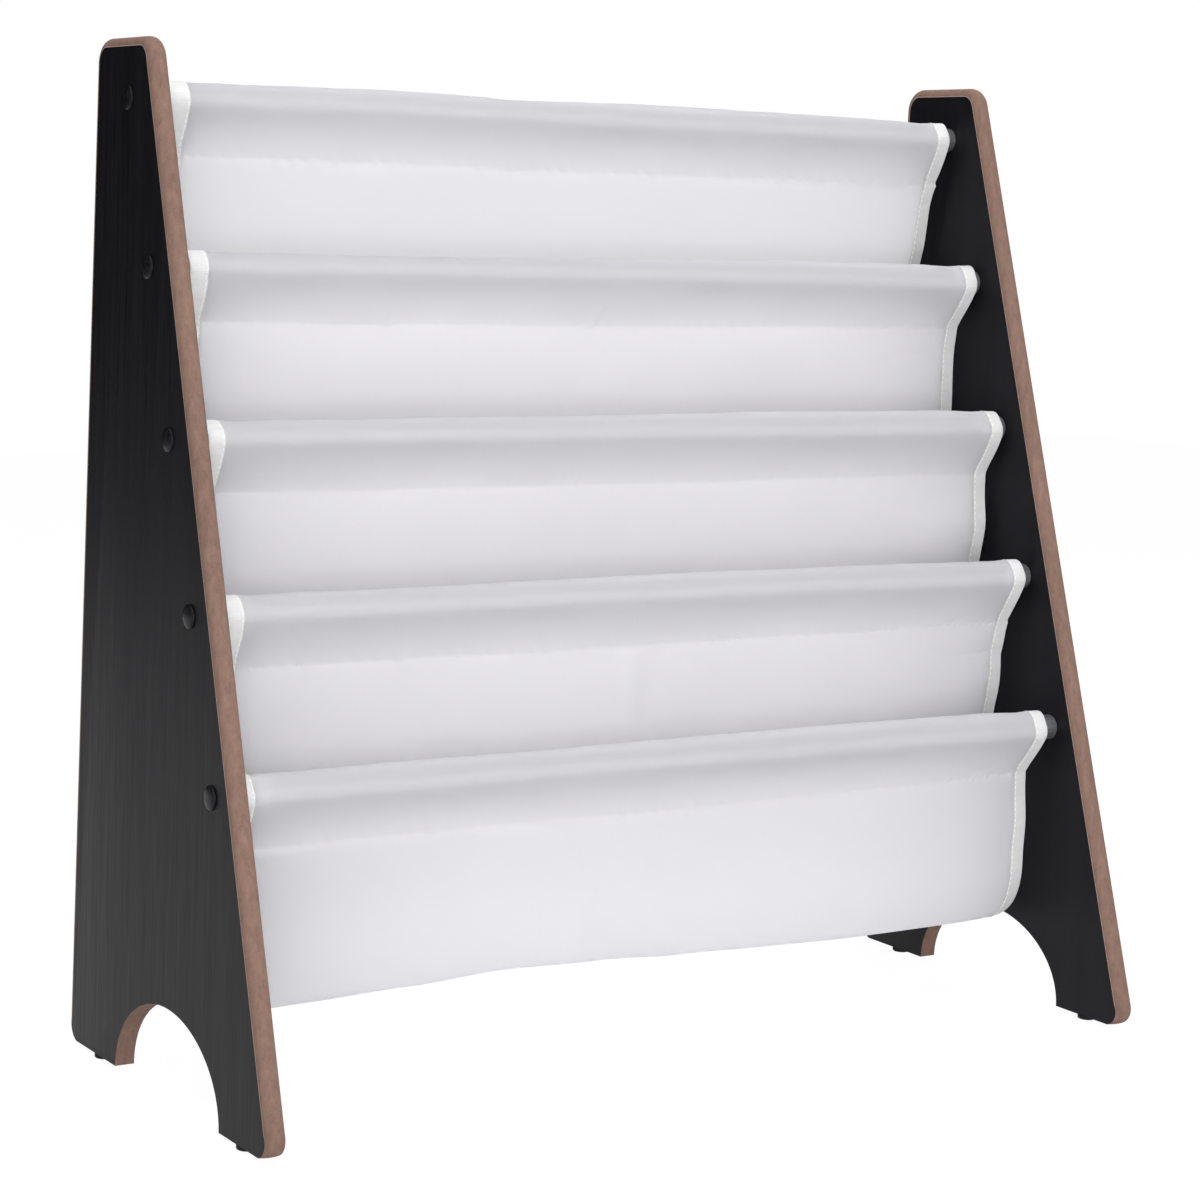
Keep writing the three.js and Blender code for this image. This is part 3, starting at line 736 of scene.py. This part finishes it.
# The soft fold that runs from the right tape down into each sleeve
END_FOLD = [0.45, 1.0, 0.5, 0.9, 0.9]
END_DROP, END_SLANT, END_WIDE, END_RIDGE, END_ASIDE = 21, 0.42, 4.5, 0.7, 1.2
END_INWARD, END_OUTWARD = 32, 5

# Irregular ripples: height, wavelengths, and the seed for tier 0
RIPPLES = {
    "setback": (0.5, [210, 340], 40), "drop": (0.45, [130, 235, 390], 50),
    "pucker shift": (3, [41, 67], 60), "puckers": (1, [8.5, 13.0, 21.0], 70),
    "pucker patches": (0.45, [62, 118, 205], 80), "top": (0.10, [23, 37, 71], 90),
    "bulge": (0.35, [95, 160, 310], 120), "slanted": (0.32, [83, 137, 224], 140),
    "crossing": (0.22, [61, 170], 149), "rib shift": (0.8, [31, 53], 160),
    "edge": (0.35, [47, 83, 160], 200), "tape": (0.25, [47, 83, 160], 230),
}
WAVER_REACH, TAPE_PACE, TOP_SLANT = 30, 1.7, 9
# The flutter of a wall: how its two ripples slant, and the depths where it comes and goes
FLUTTER_SLANT, FLUTTER_CROSS, FLUTTER_START, FLUTTER_END, FLUTTER_FADE = 0.5, 0.8, 25, 75, 30

# Rows of points: shares of a sleeve's height, and depths below a stitch line
SLEEVE_SHARES = [0, 0.025, 0.055, 0.09, 0.135, 0.19, 0.26, 0.34, 0.44, 0.55, 0.67, 0.80, 0.92]
WALL_DEPTHS = [0.7, 1.5, 2.5, 3.8, 5.4, 7.4, 9.8, 12.8, 16.4, 20.5, 25, 30, 35.5, 41.5, 48,
               55, 63, 72, 82]
FRONT_DEPTHS = WALL_DEPTHS[:15]
ARC_STEPS, WALL_STEPS, BACK_TURN_STEPS, FRONT_TURN_STEPS, FRONT_STEPS = 26, 14, 10, 15, 4
# A pocket's bottom between two tiers: its back end, its lowest line and its front end
TURN_START, TURN_LOW, TURN_END = 0.4, 0.5, 0.9
# The folded hem
HEM_HEIGHTS, HEM_TOP, HEM_ROUND, HEM_LIFT, HEM_STEPS = (5.5, 3.6, 1.8), 1.6, 0.9, 0.4, 6
# Columns of points: distances from either side edge, and even steps, finer at the ribs
EDGE_COLUMNS = np.array([0, 0.8, 1.8, 3.0, 4.6, 6.4])
PLAIN_FROM, PLAIN_STEP, RIBS_FROM, RIBS_STEP, RIBS_TO = 8.4, 2.4, 150, 1.45, 7.6
RIBBON_WIDE, RIBBON_STEP = 14, 0.25

# Stitches: pitch, length, radius, and height over the cloth or the tape
SEAM_PITCH, SEAM_SHARE, SEAM_THREAD, SEAM_LIE, SEAM_INSET = 3.3, 0.80, 0.40, 0.02, 5.7
SEAM_TAPE = 1.5  # stitches this near the tape already lie on it
EDGE_PITCH, EDGE_LONG, EDGE_THREAD, EDGE_LIE = 3.6, 2.9, 0.24, -0.02
EDGE_ROW = [0.94, 0.89, 0.84]  # the stitches are in the middle one of these columns
EDGE_START, EDGE_STOP, EDGE_MID = 1.5, 4, 1.4
THREAD_SIDES, THREAD_DIP = 5, 0.8
THREAD_RINGS = ((0.10, 0.1, 0.75), (0.5, 0.55, 1.0), (0.90, 0.1, 0.75))  # share, rise, width


# ---- The sling
def ripple(kind, k, x):
    """One of the ripples above at the places x, for tier k or side k."""
    height, lengths, seed = RIPPLES[kind]
    return height * waves(x, lengths, seed + k)


def right_blend(x):
    return bell((EDGE_X - x) / EDGE_BLEND)


def near_edge(x, reach):
    return np.exp(-np.maximum(EDGE_X - np.abs(x), 0) / reach)


def seam(k, x):
    """Stitch line k: how far its two layers lie from its middle, and how far that lies below
    the tube and behind it."""
    plain, taped = HEM_GAP if k in (0, RODS - 1) else LAYER_GAP
    tape_start = EDGE_X - TAPE_MOST - GAP_RAMP
    gap = lerp(plain, taped, smooth((np.abs(x) - tape_start) / GAP_RAMP))
    plain = LOW_SETBACK if k == RODS - 1 else SETBACK
    back = lerp(plain + ripple("setback", k, x), EDGE_SETBACK[k], right_blend(x))
    return gap, SEAM_DROP + ripple("drop", k, x), back


def puckers(k, x, d, way):
    """Height of the small tucks along stitch line k, at distance d above or below it."""
    height, slant, reach = PUCKER[k]
    place = x + way * slant * d + ripple("pucker shift", k, x)
    patches = smooth(0.5 + ripple("pucker patches", k, x))
    strength = PUCKER_LEAST + (1 - PUCKER_LEAST) * patches
    strength = strength + PUCKER_ENDS * near_edge(x, ENDS_REACH)
    puff = PUFF * (1 - bell(d / PUFF_START)) * np.exp(-d / PUFF_REACH)
    total = (1 if way > 0 else PUCKER_BELOW) * height * ripple("puckers", k, place)
    total = total * strength * np.exp(-d / reach) + puff
    if way > 0:
        tall, start = RIBS[k]
        ribs = np.sin(TURN * (x - RIB_SLANT * d + ripple("rib shift", k, x)) / RIB_PITCH)
        total = total + tall * ribs * smooth((x - start) / RIB_RAMP) * bell(d / RIB_REACH)
    return total


def creases(k, part, x, d):
    """Depth of the single creases in a sleeve or wall, at distance d from its stitch line."""
    total = 0 * x
    for tier, where, at, wide, depth, lean, reach in CREASES:
        if (tier, where) == (k, part):
            bend = (x - at - lean * d) / wide
            shape = bell(bend) - CREASE_RIDGE * bell(bend - CREASE_ASIDE)
            total = total + depth * shape * np.exp(-((d / reach) ** 4))
    if part == "wall":
        return total * smooth(d / CREASE_START)
    inward = EDGE_X - TAPE_MOST - x
    bend = (d - END_DROP + END_SLANT * inward) / END_WIDE
    fade = bell(np.maximum(inward, 0) / END_INWARD) * bell(np.minimum(inward, 0) / END_OUTWARD)
    shape = END_RIDGE * bell(bend + END_ASIDE) - bell(bend)
    return total + END_FOLD[k] * shape * fade


def flutter(k, x, d):
    """Long shallow unevenness of a hanging wall."""
    slanted = ripple("slanted", k, x + FLUTTER_SLANT * d)
    return (slanted + ripple("crossing", k, x - FLUTTER_CROSS * d)) * smooth(d / FLUTTER_START)


class Path:
    """The cloth's middle surface: rows of points along the shelf, from the hem behind the
    top tube through every pocket to the hem behind the lowest tube."""

    def __init__(self, x):
        self.x = x
        self.rows, self.tiers, self.marks = [], [], {}

    def add(self, y, z, tier):
        """A row of points. Tier k is at tube k, and 0.5 more is half way to the next."""
        left = np.interp(tier, range(RODS), LEFT_SHORT)
        right = np.interp(tier, range(RODS), RIGHT_SHORT)
        shift = left * smooth(-self.x / EDGE_X) - right * smooth(self.x / EDGE_X)
        self.rows.append((self.x + shift, y + 0 * self.x, z + 0 * self.x))
        self.tiers.append(tier)

    def mark(self, name):
        self.marks[name] = len(self.rows) - 1

    def points(self):
        return np.moveaxis(np.array(self.rows), 1, 2)


def hem(path, k):
    """The folded hem behind the stitch line of the top or lowest sleeve."""
    gap, drop, back = seam(k, path.x)
    low = ROD_AT[k][1] - drop - FLAP
    steps = [(0, low + height) for height in HEM_HEIGHTS]
    turn = gap / 2
    for i in range(HEM_STEPS + 1):
        a = pi * i / HEM_STEPS
        steps.append((turn * (1 - np.cos(a)), low - turn * HEM_ROUND * np.sin(a) + HEM_LIFT))
    steps.append((gap, low + HEM_TOP))
    for dy, z in reversed(steps) if k else steps:
        path.add(ROD_AT[k][0] + back + dy, z, k)


def polar(radius, turn):
    return np.array((radius * np.cos(turn), radius * np.sin(turn)))


def sleeve(path, k):
    """Up behind tube k, over it and down in front, from stitch line to stitch line. The
    lowest sleeve runs the other way, from its pocket's front wall to its hem."""
    first = len(path.rows)
    x = path.x
    y0, z0 = ROD_AT[k]
    gap, drop, back = seam(k, x)
    tape_start = EDGE_X - TAPE_MOST - TAPE_LIFT_START
    tape = TAPE_LIFT * smooth((np.abs(x) - tape_start) / TAPE_LIFT_RAMP)
    radius = ROD_RADIUS + SLEEVE_AIR + CLOTH / 2 + tape
    slack = along_shares(TOP_SLACK[k], (x / EDGE_X + 1) / 2)
    corner = EDGE_CORNER[k] * near_edge(x, CORNER_REACH)
    # From each stitch line the cloth runs straight to where it touches the tube
    ends = []
    for way in (1, -1):
        point = (back + way * gap, -drop)
        reach, down = np.hypot(*point), np.arctan2(point[1], point[0])
        ends.append((point, down + way * np.arccos(radius / reach)))
    (from_point, from_turn), (to_point, to_turn) = ends
    to_turn = np.where(to_turn < from_turn, to_turn + TURN, to_turn)
    start = polar(radius, from_turn)
    for share in SLEEVE_SHARES:
        tuck = puckers(k, x, share * SEAM_DROP, 1 if k else -1)
        y = lerp(from_point[0], start[0], share) + tuck * (1 - share) * PUCKER_BACK
        path.add(y0 + y, z0 + lerp(from_point[1], start[1], share), k)
        if share == 0:
            path.mark(f"back_{k}")
    for i in range(ARC_STEPS + 1):
        share = i / ARC_STEPS
        turn = lerp(from_turn, to_turn, share)
        lift = slack * np.sin(pi * np.clip(share / SLACK_END, 0, 1)) ** 2
        lift = lift + LOOSE * smooth((share - LOOSE_START) / LOOSE_RUN)
        lift = lift + corner * bell((turn - CORNER_TURN) / CORNER_SPREAD)
        uneven = ripple("top", k, x + TOP_SLANT * share)
        lift = lift + uneven * np.sin(pi * share) ** 2 + LEAST_LIFT
        y, z = polar(radius + lift, turn)
        path.add(y0 + y, z0 + z, k)
    end = polar(radius + LOOSE + LEAST_LIFT, to_turn)
    bulge = BULGE[k] * (1 + ripple("bulge", k, x))
    for share in reversed(SLEEVE_SHARES):
        d = share * SEAM_DROP
        curve = (1 + SEAM_CURVE) * share ** 2 / (share + SEAM_CURVE)
        y = lerp(to_point[0], end[0], curve) - bulge * SAG * (1 - share) * share ** SAG_POWER
        crease = creases(k, "sleeve", x, d) * np.sin(pi * min(share + CREASE_PEAK, 1))
        y = y - (puckers(k, x, d, 1) + crease) * (1 - share)
        path.add(y0 + y, z0 + lerp(to_point[1], end[1], share), k)
    path.mark(f"front_{k}")
    if k == RODS - 1:
        path.rows[first:] = path.rows[first:][::-1]
        path.marks[f"front_{k}"], path.marks[f"back_{k}"] = first, len(path.rows) - 1


def edge_wall(k, depth):
    """How far behind tube k the right edge of the wall below it lies at a depth."""
    depths, places = np.array(EDGE_WALL[k]).T
    return sum(share * np.interp(depth + step, depths, places) for step, share in ROUNDING)


def edge_place(k, seam_y, down):
    """The right edge of the wall below tube k, from its stitch line at seam_y on."""
    y = ROD_AT[k][0]
    return (y + edge_wall(k, SEAM_DROP + down)
            + (seam_y - y - edge_wall(k, SEAM_DROP)) * np.exp(-down / EDGE_SETTLE))


def pocket(path, k):
    """Down the back wall from stitch line k, round and up to stitch line k + 1."""
    x = path.x
    u = (x / EDGE_X + 1) / 2
    back, front = ROD_AT[k], ROD_AT[k + 1]
    lowest = k == RODS - 2
    blend = right_blend(x)
    fold = FOLD_DEPTH * np.sin(TURN * (FOLD_COUNT[k] * u + FOLD_START[k]))
    rise = HEM_WAVE * along_shares(HEM_RISE, (u + (RODS - 2 - k) * HEM_SHIFT) % 1)
    corner = POCKET_CORNER * near_edge(x, POCKET_CORNER_REACH) * (x > 0)
    bottom = front[1] - POCKET_DROP + CLOTH / 2 + rise + corner
    gap, drop, behind = seam(k, x)
    from_y, from_z = back[0] + behind - gap, back[1] - drop
    # The lowest wall goes up in front of its tube, the others behind theirs
    gap, drop, behind = seam(k + 1, x)
    to_y, to_z = front[0] + behind + (-1 if lowest else 1) * gap, front[1] - drop
    hang_y = back[0] + BACK_HANG + fold
    front_y = front[0] + FRONT_HANG + fold
    if not lowest:
        front_y = front_y + np.maximum(edge_wall(k + 1, FRONT_PUSH) - BACK_HANG, 0) * blend
    low_y = lerp(hang_y, front_y, LOW_LINE)

    def back_wall(down):
        y = lerp(from_y, hang_y, smooth(down / SETTLE))
        fade = smooth((EDGE_LOW - down) / EDGE_FADE)
        y = lerp(y, edge_place(k, from_y, down), blend * fade)
        tucks = puckers(k, x, down, -1) + creases(k, "wall", x, down)
        return y - tucks - flutter(k, x, down)

    def front_wall(down):
        y = lerp(to_y, front_y, smooth(down / SETTLE))
        if lowest:
            y = lerp(y, edge_place(k + 1, to_y, down), blend)
            fade = smooth((FLUTTER_END - down) / FLUTTER_FADE)
            y = y - creases(k + 1, "wall", x, down) - flutter(k + 1, x, down) * fade
        return y - puckers(k + 1, x, down, -1)

    def turn_row(wall_y, a, rise, tier):
        path.add(low_y + (wall_y - low_y) * cos(a), bottom + rise * (1 - sin(a)), k + tier)

    depth = from_z - (bottom + BACK_RISE)
    for down in WALL_DEPTHS:
        path.add(back_wall(down), from_z - down, k)
    rest = depth - WALL_DEPTHS[-1]
    for i in range(1, WALL_STEPS + 1):
        down = WALL_DEPTHS[-1] + rest * i / WALL_STEPS
        path.add(back_wall(down), from_z - down, k + TURN_START * i / WALL_STEPS)
    wall_y = back_wall(depth)
    for i in range(1, BACK_TURN_STEPS):
        turn_row(wall_y, pi / 2 * i / BACK_TURN_STEPS, BACK_RISE, TURN_START)
    path.add(low_y, bottom, k + TURN_LOW)
    climb = to_z - (bottom + FRONT_RISE)
    wall_y = front_wall(climb)
    for i in range(1, FRONT_TURN_STEPS):
        share = i / FRONT_TURN_STEPS
        turn_row(wall_y, pi / 2 * (1 - share), FRONT_RISE, lerp(TURN_LOW, TURN_END, share))
    path.add(wall_y, bottom + FRONT_RISE, k + TURN_END)
    rest = climb - FRONT_DEPTHS[-1]
    for i in range(1, FRONT_STEPS):
        down = climb - rest * i / FRONT_STEPS
        path.add(front_wall(down), to_z - down, k + TURN_END + (1 - TURN_END) * i / FRONT_STEPS)
    for down in reversed(FRONT_DEPTHS):
        path.add(front_wall(down), to_z - down, k + 1)


def cloth_path(x):
    path = Path(np.asarray(x, float))
    hem(path, 0)
    path.mark("start")
    for k in range(RODS):
        sleeve(path, k)
        if k + 1 < RODS:
            pocket(path, k)
    path.mark("end")
    hem(path, RODS - 1)
    return path


def surface_normals(points):
    """Unit normals of a grid of points, on the side that faces out of a sleeve."""
    normal = np.cross(np.gradient(points, axis=1), np.gradient(points, axis=0))
    return normal / np.linalg.norm(normal, axis=2, keepdims=True)


def path_length(points):
    """Length of the cloth down its middle column, row by row."""
    steps = np.diff(points[:, points.shape[1] // 2], axis=0)
    return np.concatenate([[0], np.cumsum(np.linalg.norm(steps, axis=1))])


def store_place(mesh, across, along):
    """Keeps each point's place on the flat cloth, for the weave."""
    place = np.dstack([*np.meshgrid(across, along), np.zeros((len(along), len(across)))])
    copies = 3 * len(mesh.vertices) // place.size
    stored = mesh.attributes.new("cloth_mm", "FLOAT_VECTOR", "POINT")
    stored.data.foreach_set("vector", np.tile(place.ravel(), copies).astype(np.float32))


def make_cloth():
    """The sling as one sheet with a thickness, and its length."""
    plain = np.arange(-EDGE_X + PLAIN_FROM, RIBS_FROM, PLAIN_STEP)
    ribbed = np.arange(RIBS_FROM, EDGE_X - RIBS_TO, RIBS_STEP)
    x = np.concatenate([-EDGE_X + EDGE_COLUMNS, plain, ribbed, EDGE_X - EDGE_COLUMNS[::-1]])
    points = cloth_path(x).points()
    rows, columns = points.shape[:2]
    length = path_length(points)
    for _, side in SIDES:
        share = np.clip((side * x - (EDGE_X - WAVER_REACH)) / WAVER_REACH, 0, 1)[None, :]
        points[:, :, 0] += side * ripple("edge", side, length)[:, None] * share
    normal = surface_normals(points)
    count = rows * columns
    faces = grid_faces(rows, columns) + grid_faces(rows, columns, count, flip=True)
    at = np.arange(count).reshape(rows, columns)
    rim = np.concatenate([at[0], at[1:, -1], at[-1, -2::-1], at[-2:0:-1, 0]]).tolist()
    for a, b in zip(rim, rim[1:] + rim[:1]):
        faces.append((b, a, a + count, b + count))
    both = np.concatenate([points + normal * CLOTH / 2, points - normal * CLOTH / 2])
    mesh = mesh_from("sling_cloth", both.reshape(-1, 3), faces)
    store_place(mesh, x, length)
    shade(mesh, CLOTH_SHARP)
    return add_object("sling_cloth", mesh, CANVAS), length[-1]


def edge_ribbon(side, shares):
    """The cloth's middle surface along one side edge: points, normals and length. Columns
    are shares of the tape's width from the edge."""
    apart = np.arange(0, RIBBON_WIDE + RIBBON_STEP / 2, RIBBON_STEP)
    path = cloth_path(side * (EDGE_X - apart))
    grid = path.points()
    length = path_length(grid)
    wide = np.interp(path.tiers, range(RODS), TAPE_WIDE[side])
    wide = wide + ripple("tape", side, length * TAPE_PACE)
    place = wide[:, None] * np.asarray(shares)[None, :] / RIBBON_STEP
    low = np.clip(place.astype(int), 0, len(apart) - 2)
    rows = np.arange(len(grid))[:, None]
    points = lerp(grid[rows, low], grid[rows, low + 1], (place - low)[:, :, None])
    inward = np.clip(1 - place * RIBBON_STEP / WAVER_REACH, 0, 1)
    points[:, :, 0] += side * ripple("edge", side, length)[:, None] * inward
    normal = surface_normals(points) * -side
    kept = slice(path.marks["start"], path.marks["end"] + 2)
    return points[kept], normal[kept], length[kept]


def make_tape(word, side):
    """Binding tape folded over one side edge of the cloth."""
    points, normal, length = edge_ribbon(side, TAPE_COLUMNS)
    near, far = CLOTH / 2 + TAPE_AIR, CLOTH / 2 + TAPE_THICK
    out = np.array((side, 0, 0))
    columns = range(points.shape[1])

    def lifted(j, rise, stand=0):
        return points[:, j] - normal[:, j] * rise + out * stand

    # Over one face, the fold and the other face, then back along the inside
    loop = [lifted(0, near + TAPE_CUT)] + [lifted(j, far) for j in columns]
    for i in range(1, FOLD_STEPS):
        a = pi * i / FOLD_STEPS
        loop.append(lifted(-1, far * cos(a), TAPE_THICK + TAPE_THICK * sin(a)))
    loop += [lifted(j, -far) for j in reversed(columns)] + [lifted(0, -near - TAPE_CUT)]
    loop += [lifted(j, -near) for j in columns]
    loop += [lifted(-1, -near, TAPE_AIR * 2), lifted(-1, near, TAPE_AIR * 2)]
    loop += [lifted(j, near) for j in reversed(columns)]
    ring = np.stack(loop, axis=1)
    rows, size = ring.shape[:2]
    faces = grid_faces(rows, size, flip=side < 0, closed=True)
    faces += [tuple(range(size))[::-side], tuple(range((rows - 1) * size, rows * size))[::side]]
    mesh = mesh_from(f"binding_{word}", ring.reshape(-1, 3), faces)
    store_place(mesh, np.arange(size), length)
    shade(mesh, TAPE_SHARP)
    return add_object(f"binding_{word}", mesh, TAPE)


def add_stitch(points, faces, a, b, lift, radius):
    """One stitch: a short thread from a to b that dips into the cloth at both ends."""
    sides, first = THREAD_SIDES, len(points)
    along = unit(b - a)
    lift = unit(lift - along * (lift @ along))
    other = np.cross(along, lift)
    points.append(a - lift * radius * THREAD_DIP)
    for share, rise, wide in THREAD_RINGS:
        centre = lerp(a, b, share) + lift * radius * rise
        for i in range(sides):
            t = TURN * i / sides
            points.append(centre + (lift * cos(t) + other * sin(t)) * radius * wide)
    points.append(b - lift * radius * THREAD_DIP)
    last = len(points) - 1
    for i in range(sides):
        j = (i + 1) % sides
        faces.append((first, first + 1 + i, first + 1 + j))
        faces.append((last - sides + i, last, last - sides + j))
    rings = len(THREAD_RINGS)
    faces.extend(grid_faces(rings, sides, first + 1, flip=True, closed=True))


def make_stitching():
    """Thread along every stitch line and along both tapes, on both faces."""
    points, faces = [], []
    half = EDGE_X - SEAM_INSET
    starts = -half + SEAM_PITCH * np.arange(int(2 * half / SEAM_PITCH))
    x = (starts[:, None] + np.array([0, SEAM_SHARE * SEAM_PITCH])[None, :]).ravel()
    path = cloth_path(x)
    grid = path.points()
    normal = surface_normals(grid)
    tape = TAPE_THICK * (np.abs(x) > EDGE_X - TAPE_MOST - SEAM_TAPE)
    for k in range(RODS):
        out = -1 if k == RODS - 1 else 1
        for word in ("back", "front"):
            row = path.marks[f"{word}_{k}"]
            for i in range(0, len(x), 2):
                rise = (CLOTH / 2 + max(tape[i], tape[i + 1]) + SEAM_LIE) * out
                a, b = (grid[row, at] + normal[row, at] * rise for at in (i, i + 1))
                add_stitch(points, faces, a, b, normal[row, i] * out, SEAM_THREAD)
    for _, side in SIDES:
        grid, normal, _ = edge_ribbon(side, EDGE_ROW)
        length = path_length(grid)
        middle, normal = grid[:, 1], normal[:, 1]

        def along(row, s):
            return np.array([np.interp(s, length, row[:, c]) for c in range(3)])

        for face in (1, -1):
            for s in np.arange(EDGE_START, length[-1] - EDGE_STOP, EDGE_PITCH):
                n = along(normal, s + EDGE_MID)
                rise = n * face * (CLOTH / 2 + TAPE_THICK + EDGE_LIE)
                a, b = along(middle, s), along(middle, s + EDGE_LONG)
                add_stitch(points, faces, a + rise, b + rise, n * face, EDGE_THREAD)
    mesh = mesh_from("sling_stitching", points, faces)
    shade(mesh, THREAD_SHARP)
    return add_object("sling_stitching", mesh, THREAD)


cloth, cloth_length = make_cloth()
bindings = [make_tape(word, side) for word, side in SIDES]
stitching = make_stitching()
for piece in (cloth, *bindings, stitching):
    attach(piece, "root")
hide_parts(*(f"sling_sleeve_{k + 1}" for k in range(RODS)),
            *(f"sling_pocket_{k + 1}" for k in range(RODS - 1)))
